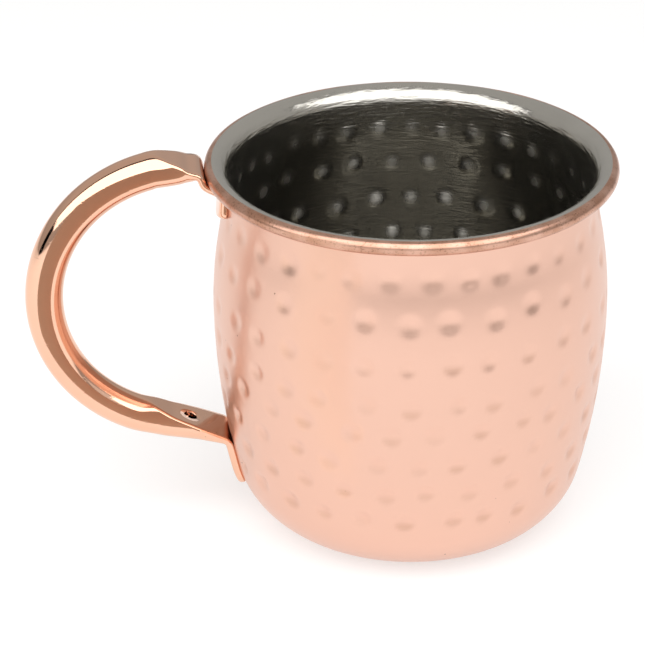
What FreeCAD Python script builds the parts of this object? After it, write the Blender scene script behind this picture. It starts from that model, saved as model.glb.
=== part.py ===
import FreeCAD, Part
import os
import Sketcher

os.makedirs("parts", exist_ok=True)
doc = FreeCAD.newDocument("copper_mug")

# ---------------------------------------------------------------- driving dimensions
# Millimetres and degrees.  u is the distance from the mug's axis, and the handle
# stands on the -X side, so a point of the handle at u lies at x = -u.
dims = doc.addObject("Spreadsheet::Sheet", "Dims")
numbers = [
    # body, measured on the copper's outer surface
    ("rim_radius", 46.5, "outside of the rim bead"),
    ("bead_radius", 1.6, "half the thickness of the rim bead"),
    ("bead_height", 88.0, "centre of the rim bead above the base"),
    ("neck_step", 2.9, "narrowest part, inside the bead's centre"),
    ("neck_drop", 2.9, "neck below the bead's centre"),
    ("belly_step", 1.1, "widest part of the barrel, inside the rim"),
    ("belly_height", 53.0, "widest part above the base"),
    ("neck_curve", 48.2, "radius of the hollow curve below the neck"),
    ("lower_curve", 175.0, "radius of the slow curve below the belly"),
    ("corner_radius", 18.0, "rounding into the base"),
    # sheet
    ("copper_sheet", 0.5, "thickness of the jacket"),
    ("steel_sheet", 0.6, "thickness of the cup"),
    ("hem_angle", 30.0, "where the tucked steel edge ends inside the bead"),
    # handle
    ("tube_diameter", 8.6, "outside of the tube"),
    ("tube_wall", 0.7, "tube wall"),
    ("flat_thickness", 1.7, "tube pressed flat"),
    ("loop_out", 5.1, "centre of the round loop outside the rim"),
    ("loop_rise", 1.7, "top of the loop's centreline above the bead's centre"),
    ("loop_fall", 4.5, "bottom of the loop's centreline above the lower tab's bend"),
    ("upper_leave", 11.4, "angle where the upper end leaves the loop"),
    ("lower_leave", 20.7, "angle where the lower end leaves the loop"),
    ("bead_clearance", 0.05, "gap between the flattened end and the bead"),
    ("upper_tab_drop", 4.4, "bend of the upper tab below the bead's centre"),
    ("upper_tab_length", 5.4, "upper tab, from its bend to its lower edge"),
    ("lower_tab_tip", 9.3, "lower edge of the lower tab above the base"),
    ("lower_tab_top", 20.6, "bend of the lower tab above the base"),
    ("tab_corner", 2.4, "rounded corners of a tab"),
    ("vent_diameter", 3.1, "drain hole in the lower end"),
    ("vent_out", 5.2, "drain hole outside the rim"),
    # spot welds
    ("weld_diameter", 2.6, "weld nugget"),
    ("weld_spread", 3.1, "weld from the middle of its tab"),
    ("weld_depth", 0.9, "weld into the metal on each side of the copper's face"),
]
formulas = [
    ("bead_u", "=rim_radius - bead_radius"),
    ("neck_radius", "=bead_u - neck_step"),
    ("belly_radius", "=rim_radius - belly_step"),
    ("neck_height", "=bead_height - neck_drop"),
    ("under_bead", "=bead_height - bead_radius"),
    ("neck_fillet", "=neck_drop - bead_radius"),
    # The hollow neck curve and the belly curve meet with one tangent.
    ("curve_drop", "=neck_height - belly_height"),
    ("curve_step", "=belly_radius - neck_radius"),
    ("curve_sum", "=(curve_drop ^ 2 + curve_step ^ 2) / (2 * curve_step)"),
    ("belly_curve", "=curve_sum - neck_curve"),
    ("belly_angle", "=asin(curve_drop / curve_sum) / 1 deg"),
    # The corner is tangent to the base and to the lower curve.
    ("corner_rise", "=belly_height - corner_radius"),
    ("corner_angle", "=asin(corner_rise / (lower_curve - corner_radius)) / 1 deg"),
    ("corner_u", "=belly_radius - lower_curve + (lower_curve - corner_radius) * cos(corner_angle)"),
    # The loop reaches from the bead down to the lower tab.
    ("loop_u", "=rim_radius + loop_out"),
    ("loop_radius", "=(bead_height + loop_rise - lower_tab_top - loop_fall) / 2"),
    ("loop_height", "=bead_height + loop_rise - loop_radius"),
    ("upper_tab_top", "=bead_height - upper_tab_drop"),
    ("upper_tab_tip", "=upper_tab_top - upper_tab_length"),
    ("vent_u", "=rim_radius + vent_out"),
    ("flat_width", "=flat_thickness + pi * (tube_diameter - flat_thickness) / 2"),
    ("tab_width", "=flat_width + 0.4"),
    ("hug", "=bead_radius + flat_thickness / 2 + bead_clearance"),
]
row = 1
for name, value, note in numbers:
    dims.set(f"A{row}", name)
    dims.set(f"B{row}", str(value))
    dims.set(f"C{row}", note)
    dims.setAlias(f"B{row}", name)
    row += 1
for name, formula in formulas:
    dims.set(f"A{row}", name)
    dims.set(f"B{row}", formula)
    dims.setAlias(f"B{row}", name)
    row += 1
doc.recompute()


def value(expression):
    """Number an expression over the Dims sheet comes to."""
    result = dims.evalExpression(expression)
    return float(getattr(result, "Value", result))


# ---------------------------------------------------------------- sketches
def sketch_on(body, name, plane):
    """Empty sketch on one of the body's origin planes: XY, XZ or YZ."""
    sketch = body.newObject("Sketcher::SketchObject", name)
    role = {"XY": "XY_Plane", "XZ": "XZ_Plane", "YZ": "YZ_Plane"}[plane]
    support = [f for f in body.Origin.OriginFeatures if f.Role == role][0]
    sketch.AttachmentSupport = [(support, "")]
    sketch.MapMode = "FlatFace"
    return sketch


def outline(sketch, corners, closed=True):
    """Draw lines and arcs through corners, each held by the sheet.

    A corner is (x, y, edge): x and y are expressions, and edge is None for a line to the
    next corner or (radius expression, side) for an arc, side +1 with its centre on the
    left of the way there and -1 on the right.
    """
    points = [FreeCAD.Vector(value(x), value(y), 0) for x, y, edge in corners]
    edges = corners if closed else corners[:-1]
    ids = []
    for k, (x, y, edge) in enumerate(edges):
        a = points[k]
        b = points[(k + 1) % len(points)]
        if edge is None:
            ids.append((sketch.addGeometry(Part.LineSegment(a, b), False), 1, 2))
            continue
        radius, side = value(edge[0]), edge[1]
        half = (b - a) * 0.5
        left = FreeCAD.Vector(-half.y, half.x, 0).normalize()
        sag = radius - max(radius ** 2 - half.Length ** 2, 0.0) ** 0.5
        arc = Part.Arc(a, a + half - left * (side * sag), b)
        index = sketch.addGeometry(arc, False)
        forward = (sketch.getPoint(index, 1) - a).Length < (sketch.getPoint(index, 2) - a).Length
        ids.append((index, 1, 2) if forward else (index, 2, 1))
    for k, (index, start, end) in enumerate(ids):
        if k + 1 < len(ids) or closed:
            after = ids[(k + 1) % len(ids)]
            sketch.addConstraint(Sketcher.Constraint("Coincident", index, end, after[0], after[1]))
    for k, (x, y, edge) in enumerate(corners):
        index, at, end = ids[k] if k < len(ids) else (ids[-1][0], ids[-1][2], None)
        for kind, text, number in (("DistanceX", x, points[k].x), ("DistanceY", y, points[k].y)):
            held = sketch.addConstraint(Sketcher.Constraint(kind, -1, 1, index, at, number))
            sketch.setExpression(f"Constraints[{held}]", text)
        if k < len(ids) and edge is not None:
            held = sketch.addConstraint(Sketcher.Constraint("Radius", index, value(edge[0])))
            sketch.setExpression(f"Constraints[{held}]", edge[0])


def wall_corners(inset, sign=1):
    """Corners of the wall's profile, moved inward by inset, from base to neck."""
    corner = f"(Dims.corner_radius - ({inset}))"
    lower = f"(Dims.lower_curve - ({inset}))"
    belly = f"(Dims.belly_curve - ({inset}))"
    neck = f"(Dims.neck_curve + ({inset}))"
    s = f"{sign} * "
    return [
        (f"{s}Dims.corner_u", f"{inset}", (corner, sign)),
        (
            f"{s}(Dims.corner_u + {corner} * cos(Dims.corner_angle))",
            f"Dims.corner_radius - {corner} * sin(Dims.corner_angle)",
            (lower, sign),
        ),
        (f"{s}(Dims.belly_radius - ({inset}))", "Dims.belly_height", (belly, sign)),
        (
            f"{s}(Dims.belly_radius - Dims.belly_curve + {belly} * cos(Dims.belly_angle))",
            f"Dims.belly_height + {belly} * sin(Dims.belly_angle)",
            (neck, -sign),
        ),
        (f"{s}(Dims.neck_radius - ({inset}))", "Dims.neck_height", None),
    ]


def revolve(body, name, sketch, cut=False):
    """Turn a sketch once about the vertical axis."""
    kind = "PartDesign::Groove" if cut else "PartDesign::Revolution"
    feature = body.newObject(kind, name)
    feature.Profile = sketch
    feature.ReferenceAxis = (sketch, ["V_Axis"])
    feature.Angle = 360.0
    return feature


# ---------------------------------------------------------------- steel cup
# Drawn cup: the wall runs up inside the jacket, flares out in a quarter round to the
# top of the bead, and its edge is stepped down and tucked inside the copper's curl.
sheets = "Dims.copper_sheet + Dims.steel_sheet"
bead_in = "(Dims.bead_radius - Dims.copper_sheet)"
hem_in = "(Dims.bead_radius - Dims.copper_sheet - Dims.steel_sheet)"
lip_height = "(Dims.bead_height + Dims.bead_radius)"
flare = "(Dims.bead_u - Dims.neck_radius + Dims.copper_sheet + Dims.steel_sheet)"
flare_out = "(Dims.bead_u - Dims.neck_radius + Dims.copper_sheet)"

cup_body = doc.addObject("PartDesign::Body", "CupBody")
cup_sketch = sketch_on(cup_body, "CupProfile", "XZ")
outer = wall_corners("Dims.copper_sheet")
inner = wall_corners(sheets)
# The inner face is walked downward, so each arc hangs on the corner above it.
down = []
for k in range(len(inner) - 1, 0, -1):
    radius, side = inner[k - 1][2]
    down.append((inner[k][0], inner[k][1], (radius, -side)))
flare_base = f"{lip_height} - {flare}"
tuck = "100"
outline(
    cup_sketch,
    [("0", "Dims.copper_sheet", None)]
    + outer
    + [
        ("Dims.neck_radius - Dims.copper_sheet", flare_base, (flare_out, -1)),
        (
            f"Dims.bead_u + {flare_out} * cos({tuck})",
            f"{flare_base} + {flare_out} * sin({tuck})",
            None,
        ),
        ("Dims.bead_u", f"Dims.bead_height + {hem_in}", (hem_in, -1)),
        (
            f"Dims.bead_u + {hem_in} * cos(Dims.hem_angle)",
            f"Dims.bead_height + {hem_in} * sin(Dims.hem_angle)",
            None,
        ),
        (
            f"Dims.bead_u + {bead_in} * cos(Dims.hem_angle)",
            f"Dims.bead_height + {bead_in} * sin(Dims.hem_angle)",
            (bead_in, 1),
        ),
        ("Dims.bead_u", f"Dims.bead_height + {bead_in}", None),
        ("Dims.bead_u", lip_height, (flare, 1)),
        (f"Dims.neck_radius - ({sheets})", flare_base, None),
    ]
    + down
    + [(inner[0][0], inner[0][1], None), ("0", sheets, None)],
)
revolve(cup_body, "CupRevolution", cup_sketch)

# ---------------------------------------------------------------- copper jacket
# Shell drawn over the cup: under the lip it turns out and curls round into the bead.
jacket_body = doc.addObject("PartDesign::Body", "JacketBody")
jacket_sketch = sketch_on(jacket_body, "JacketProfile", "XZ")
skin = wall_corners("0")
lining = wall_corners("Dims.copper_sheet")
back = []
for k in range(len(lining) - 1, 0, -1):
    radius, side = lining[k - 1][2]
    back.append((lining[k][0], lining[k][1], (radius, -side)))
fillet_u = "Dims.neck_radius + Dims.neck_fillet"
fillet_in = "(Dims.neck_fillet + Dims.copper_sheet)"
skin[-1] = (skin[-1][0], skin[-1][1], ("Dims.neck_fillet", -1))
outline(
    jacket_sketch,
    [("0", "0", None)]
    + skin
    + [
        (fillet_u, "Dims.under_bead", None),
        ("Dims.bead_u", "Dims.under_bead", ("Dims.bead_radius", 1)),
        ("Dims.rim_radius", "Dims.bead_height", ("Dims.bead_radius", 1)),
        ("Dims.bead_u", lip_height, None),
        ("Dims.bead_u", f"Dims.bead_height + {bead_in}", (bead_in, -1)),
        (f"Dims.bead_u + {bead_in}", "Dims.bead_height", (bead_in, -1)),
        ("Dims.bead_u", f"Dims.bead_height - {bead_in}", None),
        (fillet_u, f"Dims.bead_height - {bead_in}", (fillet_in, 1)),
    ]
    + back
    + [(lining[0][0], lining[0][1], None), ("0", "Dims.copper_sheet", None)],
)
revolve(jacket_body, "JacketRevolution", jacket_sketch)
doc.recompute()

# ---------------------------------------------------------------- handle tube
# One tube: a round loop, two ends pressed flat, and the tabs bent down on the wall.
handle_body = doc.addObject("PartDesign::Body", "HandleBody")

tab_sketch = sketch_on(handle_body, "TabOutlines", "YZ")
half = "Dims.tab_width / 2"
for tip, top in (("upper_tab_tip", "upper_tab_top"), ("lower_tab_tip", "lower_tab_top")):
    round_end = ("Dims.tab_corner", 1)
    outline(
        tab_sketch,
        [
            (f"-({half})", f"Dims.{top}", None),
            (f"-({half})", f"Dims.{tip} + Dims.tab_corner", round_end),
            (f"-({half}) + Dims.tab_corner", f"Dims.{tip}", None),
            (f"{half} - Dims.tab_corner", f"Dims.{tip}", round_end),
            (half, f"Dims.{tip} + Dims.tab_corner", None),
            (half, f"Dims.{top}", None),
        ],
    )
tab_pad = handle_body.newObject("PartDesign::Pad", "TabPad")
tab_pad.Profile = tab_sketch
tab_pad.setExpression("Length", "Dims.rim_radius")
tab_pad.Reversed = True
doc.recompute()

# Everything further out than one flattened thickness from the wall is taken off the tabs.
outside_sketch = sketch_on(handle_body, "OutsideOfTabs", "XZ")
far = "Dims.rim_radius * 2"
face = wall_corners("-Dims.flat_thickness", -1)
outline(
    outside_sketch,
    [(f"-({far})", "-Dims.flat_thickness", None)]
    + face
    + [(f"-({far})", "Dims.neck_height", None)],
)
revolve(handle_body, "TabFace", outside_sketch, cut=True)
doc.recompute()


def place(sketch, u, height, pitch):
    """Stand a section across the handle's path.  pitch is the slope, in degrees below
    the way to the wall; the section's own x runs along world Y."""
    sketch.setExpression(
        "Placement",
        f"placement(vector(-({u}); 0; {height}); "
        f"rotation(vector(0; 1; 0); {pitch}) * rotation(vector(1; 1; 1); 120))",
    )


def section(body, name, flatness, inset, station):
    """Four-arc section of the tube, from round (flatness 0) to pressed flat (1)."""
    sketch = body.newObject("Sketcher::SketchObject", name)
    thick = f"(Dims.tube_diameter + {flatness} * (Dims.flat_thickness - Dims.tube_diameter))"
    if inset != "0":
        inset = f"min({inset}; {thick} / 2 - 0.12)"
    a = f"({thick} / 2 + pi * (Dims.tube_diameter - {thick}) / 4 - {inset})"
    b = f"({thick} / 2 - {inset})"
    turn = f"(45 + 42 * {flatness})" if inset == "0" else f"(45 + 43.6 * {flatness})"
    k = f"((1 - sin({turn})) / cos({turn}))"
    side = f"(({b} - {a} * {k}) / (1 - {k}))"
    broad = f"({side} + ({a} - {side}) / cos({turn}))"
    x = f"{broad} * cos({turn})"
    y = f"{side} * sin({turn})"
    outline(
        sketch,
        [
            (x, f"-({y})", (side, 1)),
            (x, y, (broad, 1)),
            (f"-({x})", y, (side, 1)),
            (f"-({x})", f"-({y})", (broad, 1)),
        ],
    )
    place(sketch, *station)
    return sketch


def on_loop(angle, up):
    """Point and slope on the loop, angle away from its top or bottom."""
    sign = "+" if up else "-"
    slope = f"-({angle})" if up else angle
    return (
        f"Dims.loop_u + Dims.loop_radius * sin({angle})",
        f"Dims.loop_height {sign} Dims.loop_radius * cos({angle})",
        slope,
    )


def round_bead(angle):
    """Point and slope on the path that hugs the bead, angle below its middle."""
    return (
        f"Dims.bead_u + Dims.hug * cos({angle})",
        f"Dims.bead_height - Dims.hug * sin({angle})",
        f"90 - {angle}",
    )


upper_stations = [
    (0.0, on_loop("Dims.upper_leave", True)),
    (0.24, ("Dims.bead_u + 9.9", "Dims.bead_height + 0.75", "-2")),
    (0.47, ("Dims.bead_u + 6.8", "Dims.bead_height + 0.60", "1")),
    (0.74, ("Dims.bead_u + Dims.hug + 2.6", "Dims.bead_height + 0.70", "0")),
    (1.0, ("Dims.bead_u + Dims.hug + 1.1", "Dims.bead_height + 1.10", "0")),
    (1.0, ("Dims.bead_u + Dims.hug + 0.55", "Dims.bead_height + 0.95", "30")),
    (1.0, ("Dims.bead_u + Dims.hug + 0.15", "Dims.bead_height + 0.55", "60")),
    (1.0, round_bead("0")),
    (1.0, round_bead("14")),
    (1.0, round_bead("28")),
    (1.0, round_bead("41")),
    (1.0, round_bead("54")),
    (1.0, ("Dims.neck_radius + 0.5 * Dims.flat_thickness", "Dims.upper_tab_top + 0.6", "32")),
    (1.0, ("Dims.neck_radius - 2.0 * Dims.copper_sheet", "Dims.upper_tab_top - 0.6", "32")),
]
lower_stations = [
    (0.0, on_loop("Dims.lower_leave", False)),
    (0.30, ("Dims.bead_u + 12.1", "Dims.lower_tab_top + 4.15", "18")),
    (0.56, ("Dims.bead_u + 6.1", "Dims.lower_tab_top + 2.45", "15")),
    (0.86, ("Dims.bead_u + 0.1", "Dims.lower_tab_top + 0.9", "15")),
    (1.0, ("Dims.neck_radius - 1.4", "Dims.lower_tab_top - 0.1", "15")),
]


def tube_path(body, name):
    """Open arc: the round part of the loop's centreline, drawn on the XZ plane."""
    sketch = sketch_on(body, name, "XZ")
    top = on_loop("Dims.upper_leave", True)
    low = on_loop("Dims.lower_leave", False)
    outline(
        sketch,
        [
            (f"-({top[0]})", top[1], ("Dims.loop_radius", 1)),
            ("-(Dims.loop_u + Dims.loop_radius)", "Dims.loop_height", ("Dims.loop_radius", 1)),
            (f"-({low[0]})", low[1], None),
        ],
        closed=False,
    )
    return sketch


def tube(body, tag, inset, cut):
    """Outside (cut False) or bore (cut True) of the tube, loop first and then both ends."""
    kind = "Subtractive" if cut else "Additive"
    path = tube_path(body, f"{tag}Path")
    loop_end = section(body, f"{tag}Round", "0", inset, upper_stations[0][1])
    doc.recompute()
    pipe = body.newObject(f"PartDesign::{kind}Pipe", f"{tag}Loop")
    pipe.Profile = loop_end
    pipe.Spine = (path, ["Edge1", "Edge2"])
    doc.recompute()
    for end, stations in (("Upper", upper_stations), ("Lower", lower_stations)):
        rings = []
        for k, (flatness, station) in enumerate(stations):
            rings.append(section(body, f"{tag}{end}{k}", str(flatness), inset, station))
        doc.recompute()
        loft = body.newObject(f"PartDesign::{kind}Loft", f"{tag}{end}End")
        loft.Profile = rings[0]
        loft.Sections = rings[1:]
        loft.Ruled = True
        doc.recompute()


tube(handle_body, "Tube", "0", False)
tube(handle_body, "Bore", "Dims.tube_wall", True)

# The ends are dressed to the wall's own curve, so they lie on it face to face.
inside_sketch = sketch_on(handle_body, "InsideOfWall", "XZ")
outline(
    inside_sketch,
    [("0", "0", None)] + wall_corners("0", -1) + [("0", "Dims.neck_height", None)],
)
revolve(handle_body, "WallFace", inside_sketch, cut=True)
doc.recompute()

# Drain hole through the upper face of the lower end, in line with the handle.
vent_sketch = sketch_on(handle_body, "VentOutline", "XY")
middle = vent_sketch.addGeometry(Part.Circle(FreeCAD.Vector(-value("Dims.vent_u"), 0, 0),
                                             FreeCAD.Vector(0, 0, 1),
                                             value("Dims.vent_diameter / 2")), False)
for kind, arguments, text in (
    ("DistanceX", (-1, 1, middle, 3, -value("Dims.vent_u")), "-Dims.vent_u"),
    ("DistanceY", (-1, 1, middle, 3, 0.0), "0"),
    ("Diameter", (middle, value("Dims.vent_diameter")), "Dims.vent_diameter"),
):
    held = vent_sketch.addConstraint(Sketcher.Constraint(kind, *arguments))
    vent_sketch.setExpression(f"Constraints[{held}]", text)
vent_sketch.setExpression("AttachmentOffset.Base.z", "Dims.lower_tab_top + 2.6")
vent = handle_body.newObject("PartDesign::Pocket", "Vent")
vent.Profile = vent_sketch
vent.Reversed = True
vent.Length = 8.0
doc.recompute()

# ---------------------------------------------------------------- spot welds
# A nugget lies across the seam: part in the tab, through the copper, part in the steel.
zone_body = doc.addObject("PartDesign::Body", "WeldZone")
zone_sketch = sketch_on(zone_body, "WeldZoneProfile", "XZ")
near = wall_corners("-Dims.weld_depth")
deep = wall_corners("Dims.weld_depth")
returning = []
for k in range(len(deep) - 1, 0, -1):
    radius, side = deep[k - 1][2]
    returning.append((deep[k][0], deep[k][1], (radius, -side)))
outline(zone_sketch, near + returning + [(deep[0][0], deep[0][1], None)])
revolve(zone_body, "WeldZoneRevolution", zone_sketch)
doc.recompute()

welds = []
for end in ("upper", "lower"):
    for side, sign in (("left", -1), ("right", 1)):
        name = f"{end}_weld_{side}"
        pin = doc.addObject("Part::Cylinder", f"{name}_pin")
        pin.setExpression("Radius", "Dims.weld_diameter / 2")
        pin.Height = 8.0
        middle = f"(0.5 * Dims.{end}_tab_tip + 0.5 * Dims.{end}_tab_top)"
        turn = f"({sign} * asin(Dims.weld_spread / Dims.neck_radius))"
        reach = "(Dims.belly_radius - 5)"
        if end == "lower":
            reach = "(Dims.belly_radius - 9)"
        pin.setExpression(
            "Placement",
            f"placement(vector(-{reach} * cos({turn}); {reach} * sin({turn}); {middle}); "
            f"rotation(vector(0; 0; 1); -{turn}) * rotation(vector(0; 1; 0); -90))",
        )
        weld = doc.addObject("Part::MultiCommon", name)
        weld.Shapes = [pin, zone_body]
        weld.Label = name
        welds.append(weld)
doc.recompute()

nodes = list(welds)
for name, body in (
    ("inner_cup", cup_body),
    ("copper_jacket", jacket_body),
    ("handle_tube", handle_body),
):
    piece = body
    for weld in welds:
        cut = doc.addObject("Part::Cut", f"{name}_{weld.Name}")
        cut.Base = piece
        cut.Tool = weld
        piece = cut
    piece.Label = name
    nodes.append(piece)
doc.recompute()

# ---------------------------------------------------------------- checks and files
for item in doc.Objects:
    if "Invalid" in item.State or "Error" in item.State:
        raise RuntimeError(f"{item.Label}: {item.State}")
for node in nodes:
    shape = node.Shape
    if shape.isNull() or not shape.isValid():
        raise RuntimeError(f"{node.Label}: no valid shape")
    if len(shape.Solids) != 1:
        raise RuntimeError(f"{node.Label}: {len(shape.Solids)} solids")
for node in nodes:
    node.Shape.exportStep(f"parts/{node.Label}.step")
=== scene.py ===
import bpy
import numpy as np
from mathutils import Matrix, Vector


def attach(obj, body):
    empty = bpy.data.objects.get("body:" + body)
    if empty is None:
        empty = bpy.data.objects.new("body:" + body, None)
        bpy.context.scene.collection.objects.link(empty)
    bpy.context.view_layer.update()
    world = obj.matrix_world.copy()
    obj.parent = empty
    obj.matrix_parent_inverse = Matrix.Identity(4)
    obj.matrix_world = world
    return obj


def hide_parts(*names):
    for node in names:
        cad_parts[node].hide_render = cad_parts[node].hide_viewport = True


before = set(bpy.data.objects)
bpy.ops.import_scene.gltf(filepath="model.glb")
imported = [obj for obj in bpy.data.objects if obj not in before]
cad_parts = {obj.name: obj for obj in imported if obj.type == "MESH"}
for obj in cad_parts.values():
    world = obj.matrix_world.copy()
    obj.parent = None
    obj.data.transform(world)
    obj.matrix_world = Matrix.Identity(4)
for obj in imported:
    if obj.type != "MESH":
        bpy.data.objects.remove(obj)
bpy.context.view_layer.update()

MM = 0.001

# ------------------------------------------------------------------ copper jacket
# Outer shell of rose copper sheet, drawn to a barrel, hammered in rows from outside and
# polished.  Its top edge turns out under the lip and is curled up into a hollow bead.

rim_radius, bead_radius, bead_height = 46.5 * MM, 1.6 * MM, 88.0 * MM
neck_radius, neck_height, neck_curve = 42.0 * MM, 85.1 * MM, 48.2 * MM
belly_radius, belly_height, lower_curve = 45.4 * MM, 53.0 * MM, 175.0 * MM
corner_radius = 18.0 * MM
copper_sheet, steel_sheet = 0.5 * MM, 0.6 * MM
bead_middle = rim_radius - bead_radius


def arc(centre, radius, start, end, step):
    """Points of a circle: centre + radius * (cos a, sin a), a running evenly from start
    to end in degrees, about one point for each step of length."""
    count = max(2, int(abs(np.radians(end - start)) * abs(radius) / step) + 1)
    a = np.radians(np.linspace(start, end, count))
    return np.stack([centre[0] + radius * np.cos(a), centre[1] + radius * np.sin(a)], axis=1)


def run(start, end, step):
    """Points of a straight line from start to end, about one for each step of length."""
    start, end = np.array(start), np.array(end)
    count = max(2, int(np.linalg.norm(end - start) / step) + 1)
    t = np.linspace(0, 1, count)[:, None]
    return start * (1 - t) + end * t


def joined(*parts):
    """The parts one after another, without the points that repeat where they meet."""
    line = np.concatenate(parts)
    gap = np.linalg.norm(np.diff(line, axis=0), axis=1)
    return line[np.concatenate([[True], gap > 1e-7])]


def barrel(inset, step):
    """Profile (radius, height) of the wall from the base's middle to the neck, inset
    inside the copper's face: the flat base, the corner's arc, the slow arc below the belly,
    the belly's arc and the hollow arc of the neck, each tangent to the one before."""
    drop, swell = neck_height - belly_height, belly_radius - neck_radius
    both = (drop**2 + swell**2) / (2 * swell)
    belly_curve = both - neck_curve
    lean = np.degrees(np.arcsin(drop / both))
    tip = np.degrees(np.arcsin((belly_height - corner_radius) / (lower_curve - corner_radius)))
    flat = belly_radius - lower_curve + (lower_curve - corner_radius) * np.cos(np.radians(tip))
    return joined(
        run((0, inset), (flat, inset), step * 2.5),
        arc((flat, corner_radius), corner_radius - inset, -90, -tip, step),
        arc((belly_radius - lower_curve, belly_height), lower_curve - inset, -tip, 0, step),
        arc((belly_radius - belly_curve, belly_height), belly_curve - inset, 0, lean, step),
        arc((neck_radius + neck_curve, neck_height), -neck_curve - inset, lean, 0, step),
    )


# Rows of hammer marks: height above the base, marks in the row, where the row starts.
hammer_rows = [
    (78.8, 33, 256.6),
    (69.6, 29, 262.1),
    (59.2, 30, 261.9),
    (49.8, 29, 263.0),
    (42.7, 29, 257.4),
    (34.7, 29, 264.5),
    (26.7, 28, 255.6),
    (19.0, 28, 261.3),
]


def hammer_marks(azimuth, height, radius):
    """Depth and painted shade of the hammer marks at each point: in every row the nearest mark is
    a bowl of depth * (1 - (distance / size)^2)^2, deeper towards the base, and a painted shade,
    standing in for the darker reflection in the lower half of it, darkens that half by up to 1."""
    chance = np.random.default_rng(11)
    depth, shade = np.zeros_like(azimuth), np.zeros_like(azimuth)
    for row_height, count, start in hammer_rows:
        pitch = 2 * np.pi / count
        turn = chance.normal(0, 0.07, count) * pitch
        lift = chance.normal(0, 0.45, count) * MM
        size = chance.uniform(2.6, 3.2, count) * MM
        press = (chance.uniform(0.24, 0.42, count) + 0.35 * (1 - row_height / 80)) * MM
        # Strength of each mark's painted shade.
        shade_strength = chance.uniform(0.25, 1.0, count)
        place = (azimuth - np.radians(start)) / pitch
        nearest = np.floor(place + 0.5).astype(int)
        which = nearest % count
        across = ((place - nearest) * pitch - turn[which]) * radius / size[which]
        along = (height - row_height * MM - lift[which]) / size[which]
        bowl = np.clip(1 - across**2 - along**2, 0, 1)
        depth += press[which] * bowl**2
        below = np.clip(0.3 - 2.2 * along, 0, 1) * np.clip(2.2 * bowl - 0.6, 0, 1)
        shade += below * shade_strength[which] * (0.35 + 0.65 * np.clip((76 - row_height) / 20, 0, 1))
    waves = np.sin(5 * azimuth + height * 90) + np.sin(11 * azimuth - height * 210 + 1.3)
    return depth + 0.012 * MM * waves * np.clip((height - 8 * MM) / (10 * MM), 0, 1), shade


def hammering(azimuth, height, radius):
    """Depth of the hammering alone."""
    return hammer_marks(azimuth, height, radius)[0]


def pressed_back(azimuth, height, radius):
    """The same hammering on a surface whose profile runs downward."""
    return -hammering(azimuth, height, radius)


def swept(profile, around):
    """Azimuth, height and radius of every point of a profile turned about the axis."""
    azimuth = np.linspace(0, 2 * np.pi, around, endpoint=False)
    turn = np.repeat(azimuth[None, :], len(profile), axis=0)
    height = np.repeat(profile[:, 1:], around, axis=1)
    radius = np.repeat(profile[:, :1], around, axis=1)
    return turn, height, radius


def turned(profile, around, relief=None):
    """Grid of points (profile, around, xyz) of a profile turned about the vertical axis.
    relief(azimuth, height, radius) pushes a point in, against the profile's normal."""
    slope = np.gradient(profile, axis=0)
    slope /= np.linalg.norm(slope, axis=1)[:, None] + 1e-12
    turn, height, radius = swept(profile, around)
    if relief is not None:
        press = relief(turn, height, radius)
        radius = radius - press * slope[:, 1:]
        height = height + press * slope[:, :1]
    return np.stack([radius * np.cos(turn), radius * np.sin(turn), height], axis=2)


def shell(name, grid, poles=True, crease=35):
    """Mesh over a grid closed around its second way.  Its first and last rows close on a
    point each (poles) or with a flat face, and edges bent by more than crease stay sharp."""
    rows, around = grid.shape[:2]
    points = grid.reshape(-1, 3)
    index = np.arange(rows * around).reshape(rows, around)
    beside = np.roll(index, -1, axis=1)
    faces = np.stack([index[:-1], beside[:-1], beside[1:], index[1:]], axis=2).reshape(-1, 4)
    faces = faces.tolist()
    if poles:
        points = np.concatenate([points, grid[0].mean(axis=0)[None], grid[-1].mean(axis=0)[None]])
        first, last = rows * around, rows * around + 1
        faces += np.stack([beside[0], index[0], np.full(around, first)], axis=1).tolist()
        faces += np.stack([index[-1], beside[-1], np.full(around, last)], axis=1).tolist()
    else:
        faces += [index[0][::-1].tolist(), index[-1].tolist()]
    mesh = bpy.data.meshes.new(name)
    mesh.from_pydata(points.tolist(), [], faces)
    mesh.update()
    piece = bpy.data.objects.new(name, mesh)
    bpy.context.scene.collection.objects.link(piece)
    mesh.shade_smooth()
    mesh.set_sharp_from_angle(angle=np.radians(crease))
    return piece


def carry(piece, name, values):
    """Gives the piece's points an attribute, in their order, and 0 where values run out."""
    filled = np.zeros(len(piece.data.vertices))
    filled[: values.size] = values.ravel()
    piece.data.attributes.new(name, "FLOAT", "POINT").data.foreach_set("value", filled)


# Spacing of the points along a surface that is seen and one that is hidden, and their
# number around the axis.
fine, coarse, ring = 0.72 * MM, 2.0 * MM, 384
turn_out = bead_height - bead_radius - neck_height
curl = bead_radius - copper_sheet

jacket_face = joined(
    barrel(0, fine),
    arc((neck_radius + turn_out, neck_height), turn_out, 180, 90, 0.3 * MM),
    arc((bead_middle, bead_height), bead_radius, -90, 90, 0.35 * MM),
)
jacket_back = joined(
    arc((bead_middle, bead_height), curl, 90, -90, 0.6 * MM),
    arc((neck_radius + turn_out, neck_height), turn_out + copper_sheet, 90, 180, 0.8 * MM),
    barrel(copper_sheet, coarse)[::-1],
)
face_grid = turned(jacket_face[1:], ring, hammering)
back_grid = turned(jacket_back[:-1], ring, pressed_back)
jacket = shell("copper_jacket_hammered", np.concatenate([face_grid, back_grid]))
carry(jacket, "mark_shade", hammer_marks(*swept(jacket_face[1:], ring))[1])


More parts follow.
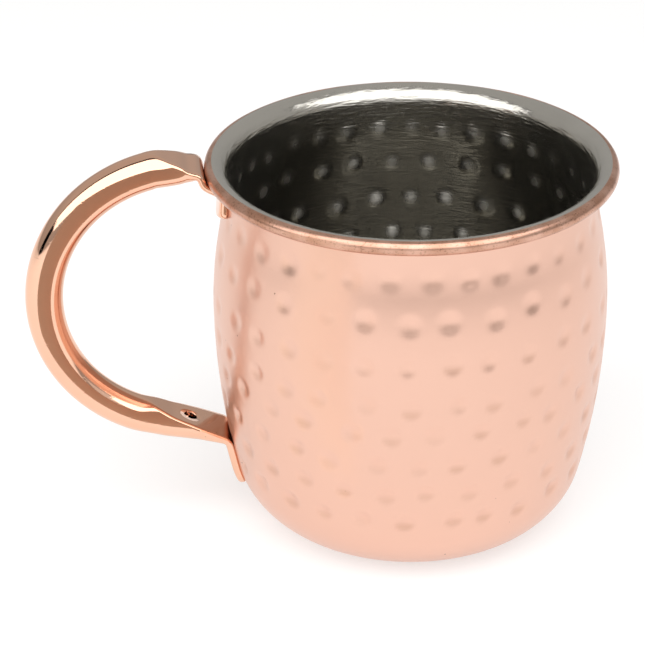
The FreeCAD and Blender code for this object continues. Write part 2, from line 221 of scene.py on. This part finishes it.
def wire(tree, kind, at, links=None, **settings):
    """Adds a node to tree at a place, with settings on it and links {input: value or socket}."""
    made = tree.nodes.new(kind)
    made.location = at
    for key, value in settings.items():
        setattr(made, key, value)
    for key, value in (links or {}).items():
        if isinstance(value, bpy.types.NodeSocket):
            tree.links.new(value, made.inputs[key])
        else:
            made.inputs[key].default_value = value
    return made


def mix(tree, at, share, under, over):
    """Colour that goes from under, a colour or a socket, to the colour over by share."""
    under = under if isinstance(under, bpy.types.NodeSocket) else (*under, 1)
    return wire(tree, "ShaderNodeMix", at, {"Factor": share, "A": under, "B": (*over, 1)},
                data_type="RGBA").outputs["Result"]


def effect(name, inputs, outputs):
    """Empty node group with named float, colour or vector inputs and outputs."""
    group = bpy.data.node_groups.new(name, "ShaderNodeTree")
    kinds = {"f": "NodeSocketFloat", "c": "NodeSocketColor", "v": "NodeSocketVector"}
    for label, kind, value in inputs:
        socket = group.interface.new_socket(label, in_out="INPUT", socket_type=kinds[kind])
        if value is not None:
            socket.default_value = value
    for label, kind in outputs:
        group.interface.new_socket(label, in_out="OUTPUT", socket_type=kinds[kind])
    start = group.nodes.new("NodeGroupInput")
    start.location = (-900, 0)
    end = group.nodes.new("NodeGroupOutput")
    end.location = (900, 0)
    return group, start, end


# Wear of polished metal: cloudy handling haze, hairline scratches and a few small pits.
handling, wear_in, wear_out = effect(
    "handling wear",
    [("Place", "v", None), ("Haze", "f", 0.08), ("Scratch", "f", 0.3), ("Pits", "f", 0.3)],
    [("Roughness", "f"), ("Height", "f"), ("Cloud", "f"), ("Pit", "f")],
)
cloud = wire(handling, "ShaderNodeTexNoise", (-650, 250),
             {"Vector": wear_in.outputs["Place"], "Scale": 38.0, "Detail": 5.0, "Roughness": 0.6})
haze = wire(handling, "ShaderNodeMath", (-420, 250),
            {0: cloud.outputs["Fac"], 1: wear_in.outputs["Haze"]}, operation="MULTIPLY")
stretch = wire(handling, "ShaderNodeMapping", (-650, -50),
               {"Vector": wear_in.outputs["Place"], "Scale": (1.0, 1.0, 14.0),
                "Rotation": (0.35, 0.2, 0.0)})
hairline = wire(handling, "ShaderNodeTexNoise", (-420, -50),
                {"Vector": stretch.outputs["Vector"], "Scale": 120.0, "Detail": 3.0})
thin = wire(handling, "ShaderNodeMapRange", (-200, -50),
            {"Value": hairline.outputs["Fac"], "From Min": 0.60, "From Max": 0.72,
             "To Min": 0.0, "To Max": 1.0})
scratch = wire(handling, "ShaderNodeMath", (20, -50),
               {0: thin.outputs["Result"], 1: wear_in.outputs["Scratch"]}, operation="MULTIPLY")
spots = wire(handling, "ShaderNodeTexVoronoi", (-420, -350),
             {"Vector": wear_in.outputs["Place"], "Scale": 210.0})
pit = wire(handling, "ShaderNodeMapRange", (-200, -350),
           {"Value": spots.outputs["Distance"], "From Min": 0.02, "From Max": 0.06,
            "To Min": 1.0, "To Max": 0.0})
thinned = wire(handling, "ShaderNodeMath", (-200, -560),
               {0: cloud.outputs["Fac"], 1: 0.56}, operation="GREATER_THAN")
pitted = wire(handling, "ShaderNodeMath", (20, -350),
              {0: pit.outputs["Result"], 1: thinned.outputs["Value"]}, operation="MULTIPLY")
pit_depth = wire(handling, "ShaderNodeMath", (220, -350),
                 {0: pitted.outputs["Value"], 1: wear_in.outputs["Pits"]}, operation="MULTIPLY")
relief = wire(handling, "ShaderNodeMath", (420, -150),
              {0: scratch.outputs["Value"], 1: pit_depth.outputs["Value"]}, operation="ADD")
upward = wire(handling, "ShaderNodeMath", (600, -150),
              {0: 1.0, 1: relief.outputs["Value"]}, operation="SUBTRACT")
handling.links.new(haze.outputs["Value"], wear_out.inputs["Roughness"])
handling.links.new(upward.outputs["Value"], wear_out.inputs["Height"])
handling.links.new(cloud.outputs["Fac"], wear_out.inputs["Cloud"])
handling.links.new(pit_depth.outputs["Value"], wear_out.inputs["Pit"])


def metal(name, pale, deep, gloss, haze_amount, scratches, pits, depth):
    """Polished metal: pale and deep tones mixed by the cloud, gloss plus haze for its
    roughness, and the wear as a bump of the given depth in metres."""
    paint = bpy.data.materials.new(name)
    paint.use_nodes = True
    tree = paint.node_tree
    shader = tree.nodes["Principled BSDF"]
    place = wire(tree, "ShaderNodeTexCoord", (-1300, 0))
    wear = wire(tree, "ShaderNodeGroup", (-1050, 0),
                {"Place": place.outputs["Object"], "Haze": haze_amount, "Scratch": scratches,
                 "Pits": pits}, node_tree=handling)
    tone = mix(tree, (-700, 200), wear.outputs["Cloud"], deep, pale)
    # The pits are darker than the metal round them.
    pit_tone = (deep[0] * 0.2, deep[1] * 0.15, deep[2] * 0.12)
    pitted_tone = mix(tree, (-500, 200), wear.outputs["Pit"], tone, pit_tone)
    rough = wire(tree, "ShaderNodeMath", (-700, -50),
                 {0: wear.outputs["Roughness"], 1: gloss}, operation="ADD")
    bump = wire(tree, "ShaderNodeBump", (-450, -250),
                {"Height": wear.outputs["Height"], "Strength": 1.0, "Distance": depth})
    tree.links.new(pitted_tone, shader.inputs["Base Color"])
    tree.links.new(rough.outputs["Value"], shader.inputs["Roughness"])
    tree.links.new(bump.outputs["Normal"], shader.inputs["Normal"])
    shader.inputs["Metallic"].default_value = 1.0
    return paint


def above_height(tree, low, high, at):
    """Place on the piece, and a mask that rises from 0 to 1 between two heights on it."""
    place = wire(tree, "ShaderNodeTexCoord", at)
    parts = wire(tree, "ShaderNodeSeparateXYZ", (at[0] + 180, at[1]),
                 {"Vector": place.outputs["Object"]})
    mask = wire(tree, "ShaderNodeMapRange", (at[0] + 360, at[1]),
                {"Value": parts.outputs["Z"], "From Min": low, "From Max": high})
    return place.outputs["Object"], mask.outputs["Result"]


def recolour(tree, colour):
    """Puts a colour socket in the place of the one that feeds Base Color."""
    tree.links.new(colour, tree.nodes["Principled BSDF"].inputs["Base Color"])


def feed(tree, node, name):
    """The socket that feeds an input of a node."""
    return tree.nodes[node].inputs[name].links[0].from_socket


copper = metal(
    "rose copper, hammered", (0.775, 0.498, 0.395), (0.76, 0.48, 0.378), 0.26, 0.10, 0.4, 1.0,
    0.01 * MM)

# The marks carry a painted shade, brown in their lower halves, standing in for the darker
# reflection there, and the bead is duller and browner than the wall, with dark specks.
tree = copper.node_tree
mark_shade = wire(tree, "ShaderNodeAttribute", (-900, 350), attribute_name="mark_shade")
mark_share = wire(tree, "ShaderNodeMath", (-700, 350),
                  {0: mark_shade.outputs["Fac"], 1: 0.42}, operation="MULTIPLY")
marked = mix(tree, (-450, 450), mark_share.outputs["Value"],
             feed(tree, "Principled BSDF", "Base Color"), (0.50, 0.28, 0.19))
rim_place, rim_mask = above_height(tree, 85.8 * MM, 86.9 * MM, (-1300, 600))
rim_cloud = wire(tree, "ShaderNodeTexNoise", (-1000, 850),
                 {"Vector": rim_place, "Scale": 160.0, "Detail": 4.0})
rim_patch = wire(tree, "ShaderNodeMapRange", (-800, 850),
                 {"Value": rim_cloud.outputs["Fac"], "From Min": 0.35, "From Max": 0.65,
                  "To Min": 0.35, "To Max": 0.95})
rim_share = wire(tree, "ShaderNodeMath", (-600, 700),
                 {0: rim_mask, 1: rim_patch.outputs["Result"]},
                 operation="MULTIPLY")
browned = mix(tree, (-300, 500), rim_share.outputs["Value"], marked, (0.48, 0.25, 0.165))
speck_cloud = wire(tree, "ShaderNodeTexNoise", (-1000, 1100),
                   {"Vector": rim_place, "Scale": 2200.0, "Detail": 6.0})
speck = wire(tree, "ShaderNodeMapRange", (-800, 1100),
             {"Value": speck_cloud.outputs["Fac"], "From Min": 0.56, "From Max": 0.66})
speck_share = wire(tree, "ShaderNodeMath", (-600, 1000),
                   {0: speck.outputs["Result"], 1: rim_share.outputs["Value"]},
                   operation="MULTIPLY")
recolour(tree, mix(tree, (-100, 500), speck_share.outputs["Value"], browned, (0.26, 0.13, 0.08)))
jacket.data.materials.append(copper)
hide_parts("copper_jacket")
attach(jacket, "root")

# ------------------------------------------------------------------ steel cup
# Drawn stainless cup inside the jacket.  The hammering shows through as round bumps, and
# the lip flares in a quarter round to the top of the bead, where its edge is tucked in.

cup_flare = bead_middle - neck_radius + copper_sheet + steel_sheet
lip_height = bead_height + bead_radius
flare_foot = lip_height - cup_flare
tuck = bead_radius - copper_sheet - steel_sheet

cup_back = joined(
    barrel(copper_sheet, coarse),
    arc((bead_middle, flare_foot), cup_flare - steel_sheet, 180, 100, 0.6 * MM),
    arc((bead_middle, bead_height), tuck, 90, 30, 0.4 * MM),
    arc((bead_middle, bead_height), curl, 30, 90, 0.3 * MM),
)
cup_face = joined(
    arc((bead_middle, flare_foot), cup_flare, 90, 180, 0.35 * MM),
    barrel(copper_sheet + steel_sheet, fine)[::-1],
)


def bulged(azimuth, height, radius):
    """The hammering as it stands out inside the cup, a quarter higher."""
    return -1.25 * hammering(azimuth, height, radius)


cup_back_grid = turned(cup_back[1:], ring, hammering)
cup_face_grid = turned(cup_face[:-1], ring, bulged)
cup = shell("inner_cup_drawn", np.concatenate([cup_back_grid, cup_face_grid]))
bumps = hammering(*swept(np.concatenate([cup_back[1:], cup_face[:-1]]), ring))
carry(cup, "rubbed", np.clip(bumps / (0.5 * MM), 0, 1) ** 1.5)

# Brushing round the cup draws each reflection out up and down.
steel = metal(
    "drawn steel", (0.62, 0.60, 0.55), (0.48, 0.46, 0.42), 0.13, 0.08, 0.15, 0.3, 0.008 * MM)
tree = steel.node_tree
steel_shader = tree.nodes["Principled BSDF"]
steel_shader.inputs["Anisotropic"].default_value = 0.85
steel_shader.inputs["Anisotropic Rotation"].default_value = 0.25
cup.data.materials.append(steel)

# Spun lines run level around the cup, strongest in the band just under the lip.
spun_place, spun_mask = above_height(tree, 72.0 * MM, 80.0 * MM, (-1500, -500))
spun_stretch = wire(tree, "ShaderNodeMapping", (-1200, -700),
                    {"Vector": spun_place, "Scale": (220.0, 220.0, 1600.0)})
spun_noise = wire(tree, "ShaderNodeTexNoise", (-1000, -700),
                  {"Vector": spun_stretch.outputs["Vector"], "Scale": 1.0, "Detail": 3.0})
spun_depth = wire(tree, "ShaderNodeMapRange", (-1000, -450),
                  {"Value": spun_mask, "To Min": 14.0, "To Max": 22.0})
spun = wire(tree, "ShaderNodeMath", (-800, -600),
            {0: spun_noise.outputs["Fac"], 1: spun_depth.outputs["Result"]},
            operation="MULTIPLY")
spun_and_worn = wire(tree, "ShaderNodeMath", (-620, -400),
                     {0: feed(tree, "Bump", "Height"), 1: spun.outputs["Value"]})
tree.links.new(spun_and_worn.outputs["Value"], tree.nodes["Bump"].inputs["Height"])

# The bumps are rubbed a little rougher than the wall between them.
rub = wire(tree, "ShaderNodeAttribute", (-900, 250), attribute_name="rubbed")
rub_share = wire(tree, "ShaderNodeMath", (-600, 60), {0: rub.outputs["Fac"], 1: 0.30},
                 operation="MULTIPLY")
rubbed_rough = wire(tree, "ShaderNodeMath", (-300, 60),
                    {0: rub_share.outputs["Value"],
                     1: feed(tree, "Principled BSDF", "Roughness")})
tree.links.new(rubbed_rough.outputs["Value"], steel_shader.inputs["Roughness"])

# Below its waist the cup is painted darker inside: painted shade standing in for the dim depths
# of the cup.
unshaded_steel = feed(tree, "Principled BSDF", "Base Color")
deep_shade_mask = above_height(tree, 28.0 * MM, 50.0 * MM, (-1500, 700))[1]
painted_deep_shade = wire(tree, "ShaderNodeMix", (-300, 500),
              {"Factor": deep_shade_mask, "A": (0.24, 0.23, 0.20, 1), "B": unshaded_steel},
              data_type="RGBA")
recolour(tree, painted_deep_shade.outputs["Result"])
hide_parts("inner_cup")
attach(cup, "root")

# ------------------------------------------------------------------ handle tube
# One copper tube bent to a loop.  Both ends are pressed flat on top, so that a crisp edge
# runs out to the wall, and are bent down as tabs that hug it.  The upper end comes in level
# with the lip and bends sharply round the bead; the lower one has a drain hole.

tube_diameter, tube_wall, flat_thickness = 8.6 * MM, 0.7 * MM, 1.7 * MM
loop_radius, loop_middle, loop_height = 32.3 * MM, 51.6 * MM, 57.4 * MM
tab_corner, edge_ease = 2.4 * MM, 0.35 * MM
upper_tip, lower_tip = 78.2 * MM, 9.3 * MM
resting = flat_thickness / 2 + 0.02 * MM
wall_profile = barrel(-resting, 0.5 * MM)


def down_wall(start, end):
    """Points (distance from the axis, height) of a pressed end lying on the wall."""
    height = np.linspace(start, end, 12)
    return np.stack([np.interp(height, wall_profile[:, 1], wall_profile[:, 0]), height], axis=1)


def about_bead(*angles):
    """Points on the circle that passes under and outside the bead, just clear of it."""
    a = np.radians(angles)
    reach = bead_radius + flat_thickness / 2 + 0.1 * MM
    return np.stack([bead_middle + reach * np.cos(a), bead_height - reach * np.sin(a)], axis=1)


upper_bend = np.array([(47.6, 88.55), (48.0, 88.95), (48.55, 89.1)]) * MM
upper_run = np.array([(50.05, 88.7), (51.7, 88.6), (54.8, 88.75)]) * MM
lower_run = np.array([(57.0, 24.75), (51.0, 23.05), (45.0, 21.55), (43.6, 21.1)]) * MM
loop_line = arc((loop_middle, loop_height), loop_radius, 78.6, -69.3, 1.0 * MM)
route = [
    (down_wall(upper_tip, 83.2 * MM), 1.0),
    (np.array([(43.9, 84.5)]) * MM, 1.0),
    (about_bead(54, 41, 28, 14, 0), 1.0),
    (upper_bend, 1.0),
    (upper_run, np.array([0.74, 0.47, 0.24])),
    (loop_line, 0.0),
    (lower_run, np.array([0.30, 0.56, 0.88, 1.0])),
    (down_wall(19.9 * MM, lower_tip), 1.0),
]
corners = np.concatenate([points for points, press in route])
presses = np.concatenate([np.full(len(points), 1.0) * press for points, press in route])


def eased(values, span, step):
    """Running mean over span of values sampled every step, with the ends held still."""
    reach = int(span / step / 2)
    window = np.ones(2 * reach + 1) / (2 * reach + 1)
    before = 2 * values[:1] - values[reach:0:-1]
    after = 2 * values[-1:] - values[-2 : -reach - 2 : -1]
    padded = np.concatenate([before, values, after])
    return np.stack([np.convolve(column, window, "valid") for column in padded.T], axis=1)


def tube_line(step):
    """Centreline and flatness, sampled every step: the route's corners joined by straight
    runs, then rounded by a running mean 2 mm long, with 3 mm more on the flatness."""
    length = np.concatenate([[0], np.cumsum(np.linalg.norm(np.diff(corners, axis=0), axis=1))])
    at = np.arange(0, length[-1], step)
    lines = np.stack([np.interp(at, length, v) for v in (*corners.T, presses)], axis=1)
    lines = eased(lines, 2.0 * MM, step)
    lines[:, 2:] = eased(lines[:, 2:], 3.0 * MM, step)
    return lines[:, :2], np.clip(lines[:, 2], 0, 1)


def pressed_sizes(flat):
    """Thickness, corner radius, angle of the cut's edge and half length of the level part,
    for each flatness f.  A round of diameter D is cut flat at thickness D + f (T - D) until
    half of it is left, then squashed; its width follows from its girth staying pi D."""
    thick = tube_diameter + flat * (flat_thickness - tube_diameter)
    round_to = thick / np.maximum(0.5, 1 - flat * (1 - flat_thickness / tube_diameter)) / 2
    edge = np.minimum(np.arcsin(np.clip(thick / round_to - 1, 0, 1)), np.radians(78))
    girth = np.pi * tube_diameter - 2 * round_to * (np.cos(edge) + np.pi / 2 + edge)
    middle = np.maximum(girth / 4, 0)
    return thick, round_to, edge, middle


def half_sections(thick, round_to, edge, middle):
    """Half sections as (across, over), each from the middle of the pressed side to the
    middle of the other: out along the cut, which drops into the corner's circle over
    edge_ease, round that circle, and back along the level part."""
    thick, round_to, edge, middle = (v[:, None] for v in (thick, round_to, edge, middle))
    cut = np.linspace(0, 1, 7)[None, :] * (middle + round_to * np.cos(edge) - edge_ease)
    beyond = np.sqrt(np.maximum(round_to**2 - np.maximum(cut - middle, 0) ** 2, 0))
    cut_over = np.minimum(thick, round_to + beyond)
    rest = round_to * (np.pi / 2 + edge) + middle
    share = np.concatenate([np.linspace(0, 0.898, 25), np.linspace(0.955, 1, 7)])[None, :]
    walked = edge_ease + share * (rest - edge_ease)
    angle = np.maximum(edge - walked / round_to, -np.pi / 2)
    level_part = np.maximum(walked - round_to * (np.pi / 2 + edge), 0)
    around_across = middle - level_part + round_to * np.cos(angle)
    around_over = round_to + round_to * np.sin(angle)
    across = np.concatenate([cut, around_across], axis=1)
    over = np.concatenate([cut_over, around_over], axis=1) - thick / 2
    return across, over


def wrapped(line, flat, reach, across):
    """Places (x, y) of points at a reach from the axis and across the tube.  Where the
    tube is pressed flat on the wall they bend round the axis, elsewhere they stay level."""
    nearness = np.clip((48 * MM - line[:, 0]) / (3 * MM), 0, 1)
    hug = np.clip((flat - 0.85) / 0.15, 0, 1) * nearness
    hug = np.maximum(hug, 0.001)[:, None]
    bent = hug * across / reach
    return -(reach - reach / hug * (1 - np.cos(bent))), reach / hug * np.sin(bent)


def tube_grid(step, inset=0.0, ends=(0, None)):
    """Grid of the tube: pressed sections set square to the centreline, with the cut on the
    outer side at the upper end and on the inner side at the lower one.  The last tab_corner
    of each end narrows by a quarter round, and inset draws the skin in for the bore."""
    line, flat = tube_line(step)
    way = np.gradient(line, axis=0)
    way /= np.linalg.norm(way, axis=1)[:, None]
    out = np.stack([-way[:, 1], way[:, 0]], axis=1)
    travelled = np.arange(len(line)) * step
    left = travelled[-1] - travelled
    thick, round_to, edge, middle = pressed_sizes(flat)
    sweep = np.clip(1 - np.minimum(travelled, left) / tab_corner, 0, 1)
    middle = middle - tab_corner * (1 - np.sqrt(1 - sweep**2))
    across, over = half_sections(thick, round_to, edge, middle)
    across = across * (1 - inset / (middle + round_to))[:, None]
    over = over * (1 - 2 * inset / thick)[:, None]
    lower_end = (travelled > left)[:, None]
    across = np.where(lower_end, across[:, ::-1], across)
    over = np.where(lower_end, -over[:, ::-1], over)
    across = np.concatenate([across, -across[:, -2:0:-1]], axis=1)
    over = np.concatenate([over, over[:, -2:0:-1]], axis=1)
    reach = line[:, :1] + out[:, :1] * over
    height = line[:, 1:] + out[:, 1:] * over
    x, y = wrapped(line, flat, reach, across)
    return np.stack([x, y, height], axis=2)[slice(*ends)]


handle = shell("handle_tube_bent", tube_grid(0.4 * MM)[:, ::-1], poles=False, crease=50)
bore = shell("handle_bore", tube_grid(1.2 * MM, tube_wall, (9, -12)), poles=False, crease=50)
bpy.ops.object.select_all(action="DESELECT")
bore.select_set(True)
handle.select_set(True)
bpy.context.view_layer.objects.active = handle
bpy.ops.object.join()

# The drain hole: a drill through the pressed upper face into the bore.
drain_middle, drain_radius = 51.7 * MM, 1.5 * MM
drain_low, drain_high = 22.6 * MM, 31.0 * MM
drill_profile = joined(
    run((0, drain_low), (drain_radius, drain_low), 0.5 * MM),
    run((drain_radius, drain_low), (drain_radius, drain_high), 0.5 * MM),
    run((drain_radius, drain_high), (0, drain_high), 0.5 * MM),
)
drill_grid = turned(drill_profile[1:-1], 40) + np.array([-drain_middle, 0, 0])
drill = shell("drill", drill_grid)
drilling = handle.modifiers.new("drain hole", "BOOLEAN")
drilling.operation, drilling.solver, drilling.object = "DIFFERENCE", "EXACT", drill
bpy.context.view_layer.objects.active = handle
bpy.ops.object.modifier_apply(modifier=drilling.name)
bpy.data.objects.remove(drill)

tube_copper = metal(
    "rose copper, polished tube", (0.90, 0.575, 0.42), (0.84, 0.48, 0.33), 0.05, 0.05, 0.6, 0.6,
    0.008 * MM)

# The drain hole was punched, so the metal dips 0.5 mm within a millimetre of its edge.
tree = tube_copper.node_tree
hole_place = wire(tree, "ShaderNodeTexCoord", (-1500, -500))
hole_flat = wire(tree, "ShaderNodeVectorMath", (-1300, -500),
                 {0: hole_place.outputs["Object"], 1: (1.0, 1.0, 0.0)}, operation="MULTIPLY")
hole_far = wire(tree, "ShaderNodeVectorMath", (-1100, -500),
                {0: hole_flat.outputs["Vector"], 1: (-drain_middle, 0.0, 0.0)},
                operation="DISTANCE")
hole_parts = wire(tree, "ShaderNodeSeparateXYZ", (-1300, -700),
                  {"Vector": hole_place.outputs["Object"]})
hole_side = wire(tree, "ShaderNodeMath", (-1100, -700),
                 {0: hole_parts.outputs["Z"], 1: 40 * MM}, operation="GREATER_THAN")
hole_slope = wire(tree, "ShaderNodeMapRange", (-900, -500),
                  {"Value": hole_far.outputs["Value"], "From Min": drain_radius,
                   "From Max": drain_radius + 1.0 * MM},
                  interpolation_type="SMOOTHSTEP")
hole_lift = wire(tree, "ShaderNodeMath", (-700, -600),
                 {0: hole_slope.outputs["Result"], 1: hole_side.outputs["Value"]},
                 operation="MAXIMUM")
hole_bump = wire(tree, "ShaderNodeBump", (-250, -450),
                 {"Height": hole_lift.outputs["Value"], "Strength": 1.0, "Distance": 0.5 * MM})
tree.links.new(feed(tree, "Principled BSDF", "Normal"), hole_bump.inputs["Normal"])
tree.links.new(hole_bump.outputs["Normal"], tree.nodes["Principled BSDF"].inputs["Normal"])
handle.data.materials.clear()
handle.data.materials.append(tube_copper)
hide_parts("handle_tube")
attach(handle, "root")

# ------------------------------------------------------------------ spot welds
# Nuggets of fused metal that hold each tab to the wall, buried in the seam: part in the
# tab, through the copper, part in the steel.  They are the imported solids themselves.

fused = metal(
    "fused metal", (0.50, 0.44, 0.40), (0.36, 0.31, 0.29), 0.35, 0.25, 0.3, 1.0, 0.02 * MM)
for node in ("upper_weld_left", "upper_weld_right", "lower_weld_left", "lower_weld_right"):
    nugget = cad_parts[node]
    if not nugget.material_slots:
        nugget.data.materials.append(fused)
    for filled in nugget.material_slots:
        filled.material = fused

# ------------------------------------------------------------------ table and light
# A plain pale table lit from below, a broad soft box overhead and a low soft light in front,
# as a studio uses for bright metal.  Black strips round the soft box draw thin dark lines on
# the handle, and a brown card close in front draws the band along it.


def card(name, middle, width, height, facing, glow, tint=(1.0, 1.0, 1.0)):
    """Flat card of a size that glows by glow, black at 0, its middle at a place and its face
    towards a direction.  Only reflections see it."""
    corner = np.array([(-1, -1, 0), (1, -1, 0), (1, 1, 0), (-1, 1, 0)])
    corner = corner * (width / 2, height / 2, 1)
    turn = Vector(facing).to_track_quat("Z", "Y").to_matrix()
    points = [turn @ Vector(p) + Vector(middle) for p in corner]
    mesh = bpy.data.meshes.new(name)
    mesh.from_pydata(points, [], [(0, 1, 2, 3)])
    piece = bpy.data.objects.new(name, mesh)
    bpy.context.scene.collection.objects.link(piece)
    paint = bpy.data.materials.new(name)
    paint.use_nodes = True
    tree = paint.node_tree
    tree.nodes.clear()
    light = wire(tree, "ShaderNodeEmission", (0, 0), {"Color": (*tint, 1), "Strength": glow})
    wire(tree, "ShaderNodeOutputMaterial", (300, 0), {"Surface": light.outputs["Emission"]})
    mesh.materials.append(paint)
    piece.visible_camera = False
    piece.visible_shadow = False
    piece.visible_diffuse = False
    return piece


def lamp(name, middle, width, height, facing, power):
    """Soft rectangular lamp that lights matt surfaces and shows in polished ones."""
    data = bpy.data.lights.new(name, "AREA")
    data.shape, data.size, data.size_y, data.energy = "RECTANGLE", width, height, power
    piece = bpy.data.objects.new(name, data)
    piece.location = middle
    piece.rotation_mode = "QUATERNION"
    piece.rotation_quaternion = (-Vector(facing)).to_track_quat("Z", "Y")
    piece.visible_camera = False
    bpy.context.scene.collection.objects.link(piece)
    return piece


# The table glows evenly under the mug and less beyond arm's length.
table_mesh = bpy.data.meshes.new("table")
table_mesh.from_pydata([(-4, -4, 0), (4, -4, 0), (4, 4, 0), (-4, 4, 0)], [], [(0, 1, 2, 3)])
table = bpy.data.objects.new("table", table_mesh)
bpy.context.scene.collection.objects.link(table)
table_paint = bpy.data.materials.new("pale table")
table_paint.use_nodes = True
tree = table_paint.node_tree
table_shader = tree.nodes["Principled BSDF"]
table_shader.inputs["Base Color"].default_value = (0.50, 0.50, 0.50, 1)
table_shader.inputs["Roughness"].default_value = 0.9
table_shader.inputs["Specular IOR Level"].default_value = 0.0
table_shader.inputs["Emission Color"].default_value = (1.0, 1.0, 1.0, 1)
glow_place = wire(tree, "ShaderNodeTexCoord", (-1000, -200))
glow_from = wire(tree, "ShaderNodeVectorMath", (-800, -200),
                 {0: glow_place.outputs["Object"], 1: (0.0, 0.30, 0.0)}, operation="DISTANCE")
glow = wire(tree, "ShaderNodeMapRange", (-600, -200),
            {"Value": glow_from.outputs["Value"], "From Min": 0.60, "From Max": 1.1,
             "To Min": 0.54, "To Max": 0.40})
tree.links.new(glow.outputs["Result"], table_shader.inputs["Emission Strength"])
table_mesh.materials.append(table_paint)

lamp("overhead soft box", (-0.75, -0.53, 0.633), 3.1, 1.04, (0, 0.3, -0.95), 19.7)
card("low front light", (0.1, -1.6, 0.56), 3.2, 0.70, (0, 1, 0), 0.75)

card("strip behind the soft box", (-0.75, 0.03, 0.79), 3.1, 0.12, (0, 0.3, -0.95), 0.0)
card("strip at its left end", (-2.45, -0.45, 0.40), 0.8, 0.9, (1, 0, 0), 0.0)

# The brown card's own glow lights the jacket alone, so that the wall behind it stays even.
front = card("front card", (-0.086, -0.060, 0.055), 0.10, 0.11, (0, 1, 0), 0.84, (0.90, 1.0, 1.0))
tree = front.data.materials[0].node_tree
brown = wire(tree, "ShaderNodeBsdfDiffuse", (0, -150), {"Color": (0.60, 0.49, 0.41, 1)})
brown_glow = wire(tree, "ShaderNodeAddShader", (150, 0),
                  {0: tree.nodes["Emission"].outputs["Emission"], 1: brown.outputs["BSDF"]})
tree.links.new(brown_glow.outputs["Shader"], tree.nodes["Material Output"].inputs["Surface"])
lit_by_card = bpy.data.collections.new("lit by the front card")
lit_by_card.objects.link(jacket)
front.light_linking.receiver_collection = lit_by_card

# Grey surroundings, a little brighter overhead than at the horizon.
world = bpy.data.worlds.new("studio")
bpy.context.scene.world = world
world.use_nodes = True
sky = world.node_tree
aim = wire(sky, "ShaderNodeTexCoord", (-800, 0))
aim_parts = wire(sky, "ShaderNodeSeparateXYZ", (-600, 0), {"Vector": aim.outputs["Generated"]})
climb = wire(sky, "ShaderNodeMapRange", (-400, 0),
             {"Value": aim_parts.outputs["Z"], "From Min": 0.0, "From Max": 0.45,
              "To Min": 0.38, "To Max": 0.52})
sky.links.new(climb.outputs["Result"], sky.nodes["Background"].inputs["Strength"])
sky.nodes["Background"].inputs["Color"].default_value = (1.0, 0.98, 0.95, 1)

# ------------------------------------------------------------------ camera
# A long lens, a little over a forearm away, looking down on the rim.

pitch, yaw, roll = np.radians((27.445, 5.53, -0.477))
ahead = Vector((np.sin(yaw) * np.cos(pitch), np.cos(yaw) * np.cos(pitch), -np.sin(pitch)))
level = Vector((np.cos(yaw), -np.sin(yaw), 0))
above = level.cross(ahead)
right = level * np.cos(roll) + above * np.sin(roll)
up = above * np.cos(roll) - level * np.sin(roll)
lens = bpy.data.cameras.new("camera")
lens.sensor_width, lens.lens = 36.0, 126.67
camera = bpy.data.objects.new("camera", lens)
camera.matrix_world = Matrix.Translation((-0.06533, -0.46484, 0.29116)) @ Matrix(
    (right, up, -ahead)).transposed().to_4x4()
bpy.context.scene.collection.objects.link(camera)
bpy.context.scene.camera = camera
bpy.context.scene.view_settings.view_transform = "Standard"
